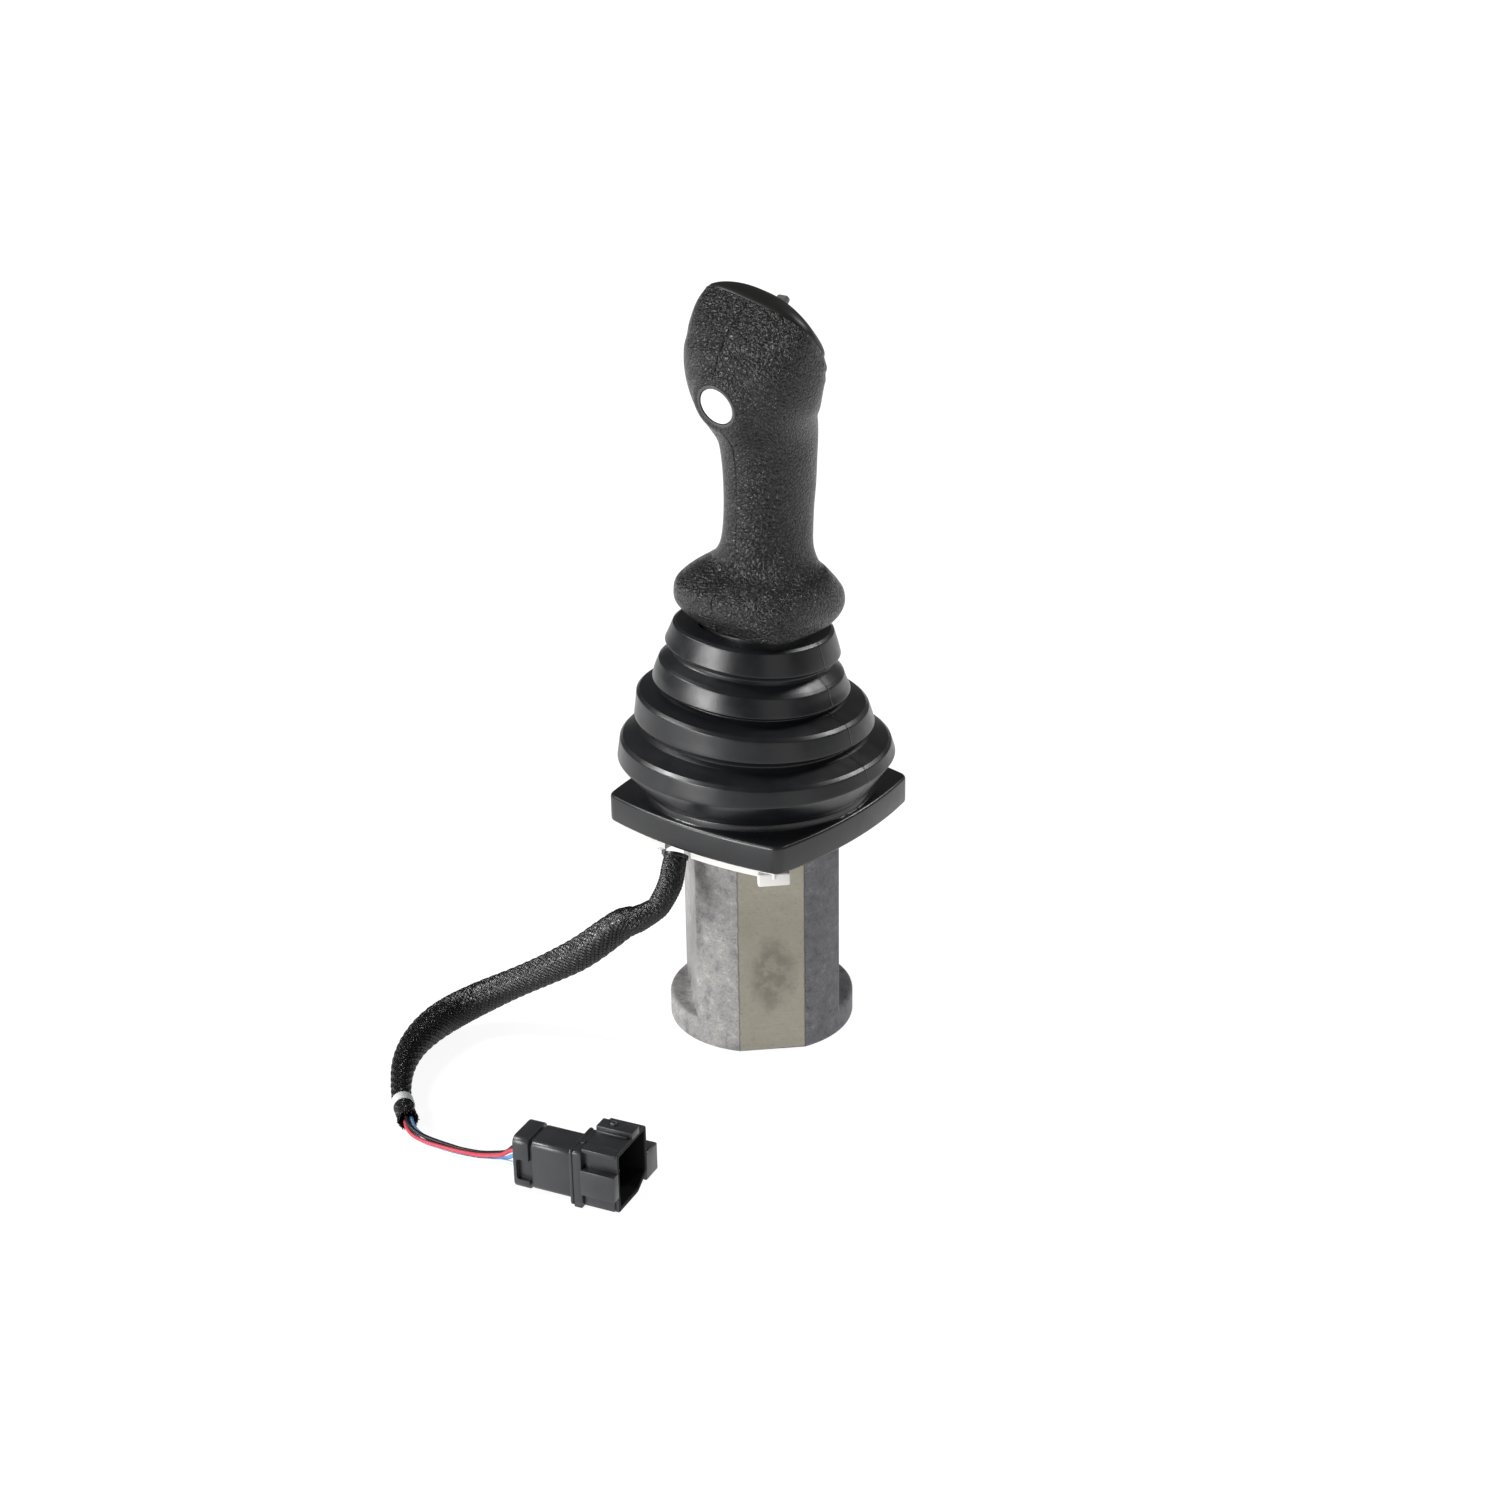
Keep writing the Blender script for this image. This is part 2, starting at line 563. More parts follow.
# the sleeve is slack: a crease runs along it and its far wall folds a little
def slack(a, s):
    """Share of the radius at angle a from the top of the section."""
    return 1 - 0.055 * np.exp(-((np.mod(a - 2.35 + math.pi, 2 * math.pi) - math.pi) / 0.28) ** 2) * np.clip((s - 40) / 12, 0, 1) * np.clip((170 - s) / 20, 0, 1) \
        - 0.02 * np.cos(3 * a + s / 19) - 0.012 * np.cos(2 * a - s / 11)


def braid():
    parts = []
    n = 36
    ang = np.linspace(0, 2 * math.pi, n, endpoint=False)
    r = sleeve_r(S)[:, None] * slack(ang[None, :], S[:, None]) - 0.62
    ring = sl[:, None, :] + r[:, :, None] * (np.cos(ang)[None, :, None] * sa[:, None, :] + np.sin(ang)[None, :, None] * sb[:, None, :])
    v, f = grid(ring, True, True, False)
    nrm_ = (ring - sl[:, None, :]).reshape(-1, 3)
    nrm_ /= np.linalg.norm(nrm_, axis=1)[:, None]
    lit = nrm_ @ (np.array([-0.50, -0.34, 0.80]) / 1.002) > 0.60
    parts.append((v, [q for q in f if not lit[q[0]] or len(q) > 4], 1))
    parts.append((v, [q for q in f if lit[q[0]] and len(q) == 4], 2))
    carriers, pitch = 20, 44.0
    for way in (1, -1):
        for c in range(carriers):
            th = 2 * math.pi * c / carriers + way * 2 * math.pi * S / pitch
            lift = 0.16 * np.sin(2 * math.pi * S / pitch * carriers + c * math.pi * (1 if way > 0 else -1) + (0 if way > 0 else math.pi))
            base = sleeve_r(S) * slack(np.mod(th, 2 * math.pi), S) - 0.18
            # each carrier is three filaments side by side
            for q in (-0.38, 0.0, 0.38):
                w = 0.16
                rows = []
                for k, hgt in ((-1, -0.12), (0, 0.06), (1, -0.12)):
                    rr = base + lift + hgt
                    a2 = th + (q + k * w) / rr
                    rows.append(sl + rr[:, None] * (np.cos(a2)[:, None] * sa + np.sin(a2)[:, None] * sb))
                v, f = grid(np.stack(rows, 1)[::1], False)
                parts.append((v, f, 0))
    # loose ends
    e, te, ae, be = sl[-1], st[-1], sa[-1], sb[-1]
    for i in range(70):
        a0 = rng.uniform(0, 2 * math.pi)
        rad = ae * math.cos(a0) + be * math.sin(a0)
        tan = -ae * math.sin(a0) + be * math.cos(a0)
        ln = rng.uniform(0.6, 2.6)
        sw = rng.uniform(-0.8, 0.8)
        ts = np.linspace(0, 1, 5)[:, None]
        cl = e + rad * (3.7 + 0.8 * ts ** 2 * rng.uniform(-0.4, 1.0)) + te * (ln * ts - 0.8) + tan * sw * ts ** 1.5
        cl[:, 2] = np.maximum(cl[:, 2], 0.35)
        w = 0.17
        ring = np.stack([cl + rad * w, cl + tan * w, cl - rad * w, cl - tan * w], 1)
        v, f = grid(ring, True, True, True)
        parts.append((v, f, 0))
    v, f, mi = join_parts(parts)
    v[:, 2] = np.maximum(v[:, 2], 0.12)
    v[:, 1] = np.maximum(v[:, 1], -163.0)
    return make("sleeve_braid", v, f, [M["braid"], M["core"], M["core_lit"]], True, 0, mi)


sleeve = braid()
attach(sleeve, "block")
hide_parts("cable_sleeve")

# marker band
m = rot_to((11.4, -8.2, 0), (0, 0, 1)); m[:3, 3] = (-60.3, -150.495, 4.5)
v, f = lathe(fillet([(4.0, -2.3), (4.4, -2.3), (4.43, 0), (4.4, 2.3), (4.0, 2.3)], 0.15, 3), 64)
band = make("marker_band", place(v, m), f, [M["band"]])
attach(band, "block"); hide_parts("sleeve_band")

# plug frame
PA = math.radians(13.5)
PM = np.eye(4)
PM[:3, 0] = (math.cos(PA), math.sin(PA), 0)
PM[:3, 1] = (-math.sin(PA), math.cos(PA), 0)
PM[:3, 3] = (13.9, -163.5, 0)


def plug_pt(u, v, w):
    return place(np.array([[u, v, w]], float), PM)[0]


BUNDLE = [[-50.7, -157.4, 4.5, 0.584, 0.812, 70, 1.3], [-46.3, -160.55, 4.3, 0.5, 0.866, 66, 1.3], [-42, -161.9, 3.5, 0.17, 0.985, 54, 1.3],
          [-36.8, -161.8, 2.7, 0.02, 1, 38, 1.3], [-31.3, -161.3, 2.4, -0.03, 1, 22, 1.3], [-25.9, -160.7, 2.4, -0.09, 0.996, 9, 1.3],
          [-20.4, -160.2, 2.7, -0.07, 0.998, 0, 1.3], [-12.7, -159.7, 4, -0.02, 1, 0, 1.35], [-8.5, -159.7, 5.2, 0.02, 1, 0, 1.45],
          [-4.1, -160, 6.9, 0.06, 0.998, 0, 1.6], [0.6, -160.7, 9, 0.1, 0.995, 0, 1.8], [4.4, -161.3, 11, 0, 1, 0, 2]]


def wire_path(b, v, w):
    out = []
    for x, y, z, ax, ay, ph, ro in BUNDLE:
        c, s_ = math.cos(math.radians(b + ph)), math.sin(math.radians(b + ph))
        out.append([x + ro * c * ax, y + ro * c * ay, z + ro * s_])
    return out + [plug_pt(-5, v, w) - [0, 0, 0.3], plug_pt(-2.5, v, w)]


for nm, b_, v, w, key in (("red", 135, 2.8, 15.6, "red"), ("black", 45, 6.0, 15.9, "black"),
                          ("blue", -45, 5.4, 12.0, "blue"), ("white", -135, 2.6, 10.4, "wwhite")):
    p, L = smooth_path(wire_path(b_, v, w), 0.8)
    cu = bpy.data.curves.new("lead_" + nm, "CURVE")
    cu.dimensions = "3D"
    sp = cu.splines.new("POLY")
    sp.points.add(len(p) - 1)
    for i, q in enumerate(p):
        sp.points[i].co = (*(q * MM), 1)
    cu.bevel_depth = 0.79 * MM
    cu.bevel_resolution = 5
    cu.use_fill_caps = True
    o = bpy.data.objects.new("lead_" + nm, cu)
    bpy.context.scene.collection.objects.link(o)
    cu.materials.append(M[key])
    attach(o, "block"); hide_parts("wire_" + nm)

# ---------------------------------------------------------------- plug
def prism(u0, u1, outline, edge=0.3):
    """Solid along u with softened end edges."""
    o = np.asarray(outline, float)
    c = o.mean(0)

    def ins(d):
        w = o - c
        return c + w * (1 - d / np.maximum(np.abs(w).max(0), 1e-6))
    rings = []
    for u, d in ((u0, edge), (u0 + edge * 0.3, edge * 0.3), (u0 + edge, 0), (u1 - edge, 0), (u1 - edge * 0.3, edge * 0.3), (u1, edge)):
        q = ins(d)
        rings.append(np.c_[np.full(len(q), u), q])
    return grid(rings, True, True, True)


def rect(v0, v1, w0, w1, r):
    return fillet([(v0, w0), (v1, w0), (v1, w1), (v0, w1)], r, 5, True)


def pbox(u0, u1, v0, v1, w0, w1, bevel=0.3, seg=2):
    return box(u0, u1, v0, v1, w0, w1, bevel, seg)


parts = []
parts.append(prism(-1.1, 5.5, rect(1.0, 13.6, 3.4, 22.1, 2.0)))
parts.append(prism(5.2, 21.9, rect(0, 14.6, 2.4, 23.1, 2.2), 0.35))
parts.append(prism(21.6, 26.4, rect(-0.9, 16.4, 1.2, 24.2, 1.4), 0.35))
parts.append(prism(21.6, 22.8, rect(-1.3, 16.8, 0.8, 24.6, 1.5), 0.3))
# shroud: outside, rim and mouth
out_l = resample(fillet([(1.5, 0.4), (17, 0.4), (24.9, 5.4), (24.9, 24.2), (23.9, 25.2), (1.5, 25.2)], [0.8, 0.8, 0.8, 0.6, 0.6, 0.8], 4, True), 120, True)
in_l = resample(fillet([(3.0, 2.4), (16.4, 2.4), (22.9, 6.6), (22.9, 23.2), (22.6, 23.4), (3.0, 23.4)], [0.8, 0.8, 0.8, 0.3, 0.3, 0.8], 4, True), 120, True)
mid = (out_l + in_l) / 2
seq = [(26.2, out_l), (39.9, out_l), (40.15, out_l * 0.92 + in_l * 0.08), (40.2, out_l * 0.8 + in_l * 0.2), (40.2, out_l * 0.2 + in_l * 0.8),
       (40.1, out_l * 0.06 + in_l * 0.94), (39.8, in_l), (28.0, in_l)]
sv, sf = grid([np.c_[np.full(120, u), q] for u, q in seq], True, True, True)
parts.append((sv, sf[:240] + sf[-2:-1], 0))
parts.append((sv, sf[240:-2] + sf[-1:], 1))
parts.append(pbox(26.2, 39.4, 0.1, 5, 23.7, 25.4, 0.35))
parts.append(pbox(26.2, 40.2, -1.7, 3.0, 6.6, 17.2, 0.4))
parts.append(pbox(26.2, 39.0, 0.3, 4, 1.2, 6.8, 0.4))
parts.append(pbox(25.3, 40.2, 13.6, 19.7, 24.0, 27.4, 0.4))
parts.append(pbox(26.0, 38.5, 12.6, 14.2, 24.6, 26.0, 0.3))
parts.append(pbox(29.0, 40.2, 24.0, 33.5, 1.0, 12.5, 0.6, 3))
parts.append(pbox(30.0, 32.4, 15.6, 17.6, 27.0, 28.6, 0.5, 3))
parts.append(pbox(22.6, 26.0, -0.6, 3.4, 0.0, 2.0, 0.4))
parts.append(pbox(23.4, 25.2, 5.0, 6.8, 23.6, 24.9, 0.3))
v, f, mi = join_parts(parts)
plug = make("plug_body", place(v, PM), f, [M["plug"], M["mouth"]], True, 35, mi)
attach(plug, "block"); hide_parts("plug_housing")

# rear cap: band with a notch on the near face, wire holes behind
rc = prism(-2.5, 4.2, rect(-0.6, 15.2, 1.8, 23.7, 2.8), 0.45)
capo = make("plug_cap", place(rc[0], PM), rc[1], [M["plug"]])
inner = prism(-1.15, 9, rect(0.95, 13.65, 3.35, 22.15, 2.0), 0.0001)
capo = boolean(capo, make("cut", place(inner[0], PM), inner[1]))
win = pbox(-1.1, 9, -2, 1.5, 6.0, 14.6, 1.2, 4)
capo = boolean(capo, make("cut", place(win[0], PM), win[1]))
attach(capo, "block"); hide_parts("plug_rear_cap")

# grommet
m = rot_to((0.238, -0.594, -0.768)); m[:3, 3] = (-6.2, -45.9, 86.3)
v, f = lathe(fillet([(4.3, -1.15), (5.15, -1.15), (5.15, 0.2), (4.9, 0.48), (4.6, 0.48), (4.3, 0.1)], 0.2, 3), 48)
gro = make("grommet", place(v, m), f, [M["rubber"]])
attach(gro, "block"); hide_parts("cable_grommet")

GUIDE = 8.55

# ---------------------------------------------------------------- valve block
def block_outline(upper, off=0.0):
    """Round block with faces milled off, points in the same order for every level."""
    r, fd, sd = 37.9 - off, 35.5 - off, 29.0 - off
    a1 = math.acos(fd / r)
    pts = []
    for k in (0, 1):
        c = math.radians(-45 + 180 * k)
        # milled face
        for t in np.linspace(-1, 1, 40):
            pts.append((c, t * r * math.sin(a1), fd))
        # cast flank up to the next milled face
        lo_, hi_ = c + a1, c + math.pi - a1
        mid_ = c + math.pi / 2
        for t in np.linspace(0, 1, 141)[1:-1]:
            a = lo_ + (hi_ - lo_) * t
            rr = r
            if upper:
                rr = min(r, sd / max(math.cos(a - mid_), 0.05))
            pts.append((None, rr * math.cos(a), rr * math.sin(a)))
    out = []
    for c, x, y in pts:
        out.append((y * math.cos(c) - x * math.sin(c), y * math.sin(c) + x * math.cos(c)) if c is not None else (x, y))
    return np.array(out)


def at_z(p, z):
    return np.c_[p, np.full(len(p), z)]


up_in = block_outline(True)
lo_in = block_outline(False)


def ledge(off):
    """The foot's outline pulled in, but never inside the upper block."""
    q = block_outline(False, off)
    ru, rl = np.linalg.norm(up_in, axis=1), np.linalg.norm(q, axis=1)
    return np.where((rl < ru)[:, None], up_in, q)


rings = [at_z(block_outline(False, 2.4), 0.0), at_z(block_outline(False, 0.7), 0.0), at_z(block_outline(False, 0.2), 0.25), at_z(lo_in, 0.8)]
rings += [at_z(lo_in, z) for z in np.linspace(2.5, 9.4, 4)]
rings += [at_z(ledge(0.2), 10.1), at_z(ledge(0.7), 10.6), at_z(ledge(1.5), 10.8)]
lq = ledge(1.5)
for t, z in ((0.5, 10.85), (0.86, 10.95), (0.96, 11.3), (1.0, 12.4)):
    rings.append(at_z(lq * (1 - t) + up_in * t, z))
for z in np.linspace(15, 86.4, 16):
    rings.append(at_z(up_in, z))
rings += [at_z(block_outline(True, 0.2), 86.85), at_z(block_outline(True, 0.6), 87.0), at_z(block_outline(True, 8), 87.0)]
v, f = grid(rings, True, True, True)
# milled faces take their own finish
mi = []
dirs = (np.array([1, -1]) / math.sqrt(2), np.array([-1, 1]) / math.sqrt(2))
for q in f:
    c = v[list(q)][:, :2].mean(0)
    n_ = max(abs(v[list(q)][:, :2] @ dirs[0]).min(), 0)
    flat = (abs(v[list(q)][:, :2] @ dirs[0]) > 35.42).all() and len(q) == 4 and v[list(q)][:, 2].max() < 86.9
    mi.append(1 if flat else 0)
block = make("block_casting", v, f, [M["cast"], M["milled"]], True, 22, mi)
# ports underneath, plunger bores, spigot and screw holes
def drill(x, y, prof):
    global block
    pv, pf = lathe(prof, 48)
    block = boolean(block, make("cut", pv + np.array([x, y, 0]), pf))


for x, y in ((24, 0), (0, 24), (-24, 0), (0, -24)):
    drill(x, y, [(0.01, -1), (6.2, -1), (6.2, 0.0), (5.25, 0.9), (5.25, 14), (3.55, 14.4), (3.55, 30), (7.5, 30), (7.5, 72), (GUIDE, 72), (GUIDE, 88), (0.01, 88)])
drill(0, 0, [(0.01, -1), (6.2, -1), (6.2, 0.0), (5.25, 0.9), (5.25, 16), (4.0, 16.4), (4.0, 25), (0.01, 26)])
drill(-12, 12, [(0.01, -1), (6.2, -1), (6.2, 0.0), (5.25, 0.9), (5.25, 14), (3.0, 14.4), (3.0, 45), (0.01, 46)])
drill(0, 0, [(0.01, 72), (5.05, 72), (5.05, 88), (0.01, 88)])
for k in range(4):
    drill(22 * math.cos(math.pi * (0.25 + 0.5 * k)), 22 * math.sin(math.pi * (0.25 + 0.5 * k)), [(0.01, 76), (2.05, 76), (2.05, 88), (0.01, 88)])
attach(block, "block"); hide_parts("valve_body")

# ---------------------------------------------------------------- plate and cover
def bowed(half=43.0, bow=5.0, rc=5.0, off=0.0, n=480):
    """Bowed square with rounded corners, sampled evenly by angle."""
    R = (half * half + bow * bow) / (2 * bow)
    k = R - half - bow
    r1 = R - rc
    c = (-2 * k + math.sqrt(4 * k * k - 8 * (k * k - r1 * r1))) / 4
    pts = []
    for q in range(4):
        a0 = q * math.pi / 2
        ca, sa_ = math.cos(a0), math.sin(a0)
        lim = math.asin(c / r1)
        for t in np.linspace(-lim, lim, 90):
            x, y = -k + (R - off) * math.cos(t), (R - off) * math.sin(t)
            pts.append((x * ca - y * sa_, x * sa_ + y * ca))
        for t in np.linspace(lim, math.pi / 2 - lim, 24)[1:-1]:
            x, y = c + (rc - off) * math.cos(t), c + (rc - off) * math.sin(t)
            pts.append((x * ca - y * sa_, x * sa_ + y * ca))
    return resample(pts, n, True)


def circ(r, n=480, ref=None):
    """Circle points in the same directions as ref."""
    a = np.arctan2(ref[:, 1], ref[:, 0])
    return np.c_[r * np.cos(a), r * np.sin(a)]


b0 = bowed()
rings = []
for off, z in ((6, 91.4), (1.2, 91.4), (0.5, 91.5), (0.12, 91.9), (0, 92.4), (0, 97), (0, 101.5), (0.12, 102.1), (0.5, 102.6), (1.1, 102.85), (1.8, 102.9)):
    rings.append(at_z(bowed(off=min(off, 4.9)), z))
cr = circ(46.3, ref=b0)
last = bowed(off=1.8)
for t, z in ((0.5, 102.95), (0.94, 103.0)):
    rings.append(at_z(last * (1 - t) + cr * t, z))
for r, z in ((46.0, 103.3), (45.9, 105.2), (45.7, 105.8), (45.2, 106.0), (39, 106.0), (38.2, 105.6), (38.0, 104), (38.0, 92.0), (38.6, 91.4)):
    rings.append(at_z(circ(r, ref=b0), z))
rings.append(rings[0])
v, f = grid(rings)
cover = make("cover_skirt", v, f, [M["cover"]], True, 40)
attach(cover, "block"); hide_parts("cover_flange")

rings = []
plate_o = bowed(half=39.7, rc=2.0)
plate_o[:, 0] = np.clip(plate_o[:, 0], -38.5, 38.5)
plate_o = resample(plate_o, 480, True)
for off, z in ((5, 87.0), (0.6, 87.0), (0.15, 87.15), (0.0, 87.5), (0.0, 90.7), (0.2, 91.0), (5, 91.0)):
    rings.append(at_z(plate_o * (1 - off / 45.0), z))
for r, z in ((13.9, 91.0), (13.5, 90.6), (13.5, 87.4), (13.9, 87.0)):
    rings.append(at_z(circ(r, ref=plate_o), z))
rings.append(rings[0])
v, f = grid(rings)
plate = make("white_plate", v, f, [M["white"]], True, 40)
c1 = box(-12.9, 0.7, -60, -40, 80, 95, 0.6, 3)
plate = boolean(plate, make("cut", *c1))
for sx in (-1, 1):
    for sy in (-1, 1):
        v, f = grid([at_z(np.c_[34 * sx + 2.75 * np.cos(t), 34 * sy + 2.75 * np.sin(t)], z) for t in [np.linspace(0, 2 * math.pi, 40, endpoint=False)] for z in (85, 93)], True, True, True)
        plate = boolean(plate, make("cut", v, f))
for k in range(4):
    a = k * math.pi / 2
    t = np.linspace(0, 2 * math.pi, 64, endpoint=False)
    v, f = grid([at_z(np.c_[24 * math.cos(a) + 8.6 * np.cos(t), 24 * math.sin(a) + 8.6 * np.sin(t)], z) for z in (85, 93)], True, True, True)
    plate = boolean(plate, make("cut", v, f))
# hook at the near corner and the tongue beside the notch
hk = box(-1.7, 1.7, -6.25, 6.25, -2.6, 2.6, 0.6, 3)
hm = np.eye(4); ca = math.cos(math.radians(-45)); sn = math.sin(math.radians(-45))
hm[:2, :2] = ((ca, -sn), (sn, ca)); hm[:3, 3] = (37.0, -38.4, 86.7)
hook = make("plate_hook", place(hk[0], hm), hk[1], [M["white"]])
tg = box(-16.5, -13.3, -45.9, -42.7, 85.05, 87.2, 0.4, 2)
tongue = make("plate_tongue", tg[0], tg[1], [M["white"]])
for o in (plate, hook, tongue):
    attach(o, "block"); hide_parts("mounting_plate")

# ---------------------------------------------------------------- return springs
for k, nm in enumerate(("right", "back", "left", "front")):
    cx, cy = 24 * math.cos(k * math.pi / 2), 24 * math.sin(k * math.pi / 2)
    t = np.linspace(0, 1, 6 * 40 + 1)
    a_ = 2 * math.pi * 6 * t
    # ground ends: the first and last turns lie flat
    zc = 35.0 + 0.8 + 22.4 * np.interp(t, [0, 0.12, 0.88, 1], [0, 0.055, 0.945, 1])
    cl = np.c_[5.3 * np.cos(a_), 5.3 * np.sin(a_), zc]
    tg_ = np.gradient(cl, axis=0); tg_ /= np.linalg.norm(tg_, axis=1)[:, None]
    n1 = np.c_[np.cos(a_), np.sin(a_), 0 * a_]
    n2 = np.cross(tg_, n1)
    ba = np.linspace(0, 2 * math.pi, 12, endpoint=False)
    ring = cl[:, None, :] + 0.79 * (np.cos(ba)[None, :, None] * n1[:, None, :] + np.sin(ba)[None, :, None] * n2[:, None, :])
    v, f = grid(ring + np.array([cx, cy, 0]), True, True, True)
    o = make("spring_coil_" + nm, v, f, [M["spring"]], True, 60)
    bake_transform(o)
    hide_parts("return_spring_" + nm)

# ---------------------------------------------------------------- bellows
DX, DY = 0.787, 0.617
TILT = np.array([(100, 0), (117, 0), (124, 1.9), (133, 3.3), (141, 5.2), (148, 5.2), (155, 6.4), (163, 6.1), (172.6, 4.6), (176, 4.0)], float)
SHIFT = np.array([(100, 0), (108, 0), (116, -0.7), (124, -0.9), (131, -1.2), (137, -1.45), (145, -2.1), (151, -2.5), (158, -1.9), (166, -1.3), (176, -1.0)], float)
PROF = [(45.4, 105.9, 0), (46.6, 106.2, .4), (47.4, 108.0, 1.5), (53.2, 116.0, 1.5), (54.4, 117.7, .7), (53.1, 124.0, .9), (51.8, 125.2, .8),
        (45.0, 128.2, 1.6), (43.0, 129.6, .8), (43.5, 131.0, .6), (45.8, 131.9, .8), (46.8, 133.1, .6), (45.2, 141.2, .9), (43.8, 142.4, .8),
        (36.8, 144.4, 1.6), (34.9, 145.5, .6), (35.2, 146.4, .4), (37.4, 146.9, .6), (38.4, 147.9, .5), (35.8, 155.0, .9), (34.5, 156.1, .8),
        (30.9, 158.7, 1.4), (30.2, 160.0, .6), (30.7, 161.3, .5), (32.9, 162.0, .6), (33.9, 163.1, .5), (31.0, 171.6, .9), (29.6, 172.5, .8), (22.0, 172.4, 0)]
prof = fillet([p[:2] for p in PROF], [p[2] for p in PROF], 6)
d = np.r_[0, np.cumsum(np.linalg.norm(np.diff(prof, axis=0), axis=1))]
fill = [prof[0]]
for i in range(1, len(prof)):
    k = int(np.linalg.norm(prof[i] - prof[i - 1]) // 1.2)
    for j in range(1, k + 1):
        fill.append(prof[i - 1] + (prof[i] - prof[i - 1]) * j / (k + 1))
    fill.append(prof[i])
prof = np.array(fill)


def bellows_ring(h, z, n=256, sq=2.15):
    a = np.linspace(0, 2 * math.pi, n, endpoint=False)
    q = np.clip((z - 106) / 10, 0, 1) * (sq - 2) + 2
    r = h * (np.abs(np.cos(a)) ** q + np.abs(np.sin(a)) ** q) ** (-1 / q)
    s = np.interp(z, SHIFT[:, 0], SHIFT[:, 1])
    x, y = r * np.cos(a) + s * DX, r * np.sin(a) + s * DY
    t = math.tan(math.radians(np.interp(z, TILT[:, 0], TILT[:, 1])))
    return np.c_[x, y, z - t * (x * DX + y * DY)]


SPLIT = 129.6
lowp = [p for p in prof if p[1] <= SPLIT + 1e-6]
highp = [p for p in prof if p[1] >= SPLIT - 1e-6]
inner_low = [(41.0, 129.4), (50.8, 124.2), (52.2, 118.2), (45.2, 108.6), (44.6, 105.9)]
rings = [bellows_ring(*p) for p in lowp] + [bellows_ring(*p) for p in inner_low]
rings.append(rings[0])
v, f = grid(rings)
bel_lo = make("bellows_lower", v, f, [M["rubber"]], True, 50)
inner_high = [(21.2, 170.9), (27.6, 170.2), (30.8, 163.4), (28.0, 162.6), (27.8, 159.4), (32.6, 154.6), (35.4, 148.6), (33.2, 148.0), (33.0, 144.8), (42.8, 140.8), (44.6, 133.8), (41.6, 132.4), (41.0, 129.8)]
rings = [bellows_ring(*p) for p in highp] + [bellows_ring(*p) for p in inner_high]
rings.append(rings[0])
v, f = grid(rings)
bel_hi = make("bellows_upper", v, f, [M["rubber"]], True, 50)
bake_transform(bel_lo)
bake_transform(bel_hi)
for o in (bel_lo, bel_hi):
    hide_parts("bellows")

# ---------------------------------------------------------------- grip
GRIP = [
    (-24.4, 176.1, 23.0, 175.0, 28.2, 3.6, .037), (-25.8, 179.0, 28.1, 177.1, 29.2, 3.4, .037), (-27.8, 182.8, 31.2, 180.9, 30.5, 3.05, .037),
    (-28.1, 187.0, 31.4, 185.2, 30.5, 2.85, .037), (-27.5, 190.3, 30.0, 188.7, 29.7, 2.6, .037), (-25.1, 192.7, 28.5, 191.4, 28.1, 2.42, .037),
    (-22.0, 194.6, 27.2, 193.6, 25.6, 2.4, .05), (-18.4, 196.2, 26.4, 195.6, 22.2, 2.3, .08), (-15.0, 198.8, 26.4, 198.4, 19.2, 2.2, .085),
    (-13.2, 202.8, 26.6, 202.6, 17.2, 2.1, .06), (-12.3, 208.0, 27.8, 208.0, 16.2, 2.05, .02), (-11.9, 216.0, 29.4, 216.0, 15.6, 2, 0),
    (-11.5, 226.0, 30.8, 226.0, 15.8, 2, 0), (-11.5, 236.0, 30.9, 236.0, 16.5, 2, 0), (-13.0, 246.0, 30.9, 245.0, 17.4, 2, 0),
    (-16.7, 252.0, 29.6, 250.5, 19.1, 2, .01), (-20.8, 258.0, 27.0, 255.0, 21.4, 2.05, .02), (-22.4, 264.0, 25.4, 258.6, 24.0, 2.1, .04),
    (-22.9, 270.0, 23.8, 261.8, 25.8, 2.15, .06), (-22.8, 276.0, 23.0, 264.8, 26.8, 2.2, .08), (-21.4, 283.0, 22.6, 267.8, 27.2, 2.3, .10),
    (-18.3, 287.4, 22.4, 270.2, 27.2, 2.4, .12), (-15.5, 291.4, 21.1, 273.4, 27.1, 2.53, .137), (-8.7, 296.9, 19.7, 276.6, 26.6, 2.9, .198),
    (-2.6, 301.75, 17.9, 279.6, 25.1, 3.05, .215)]
LIP = [(27.0, 2.0), (29.0, 2.5), (30.3, 2.8), (30.5, 2.8), (30.0, 2.65), (28.3, 2.45)]
left_rows = [(g[0], g[1], g[2], g[3], LIP[i][0], LIP[i][1], g[6]) if i < len(LIP) else g for i, g in enumerate(GRIP)]
dense_left = catmull(left_rows, 7)
dense = catmull(GRIP, 7)


def half_section(g, side, n=1441):
    t = np.linspace(-math.pi / 2, math.pi / 2, n)
    c, s = np.cos(t), np.sin(t)
    c = np.abs(c) ** (2 / g[5]); s = np.sign(s) * np.abs(s) ** (2 / g[5])
    x = g[4] * c * side
    y = (g[0] + g[2]) / 2 + s * (g[2] - g[0]) / 2
    z = (g[1] + g[3]) / 2 + s * (g[3] - g[1]) / 2 - g[6] * x
    return np.c_[x, y, z]


CC = np.array([0, 7.65, 290.675])


ENDS = np.array([0, 0.10, 0.2, 0.32, 0.46, 0.62, 0.85])
GROOVE = np.array([(174, .35), (196, .42), (203, .2), (214, .12), (232, .18), (246, .4), (256, .5), (302, .5)], float)


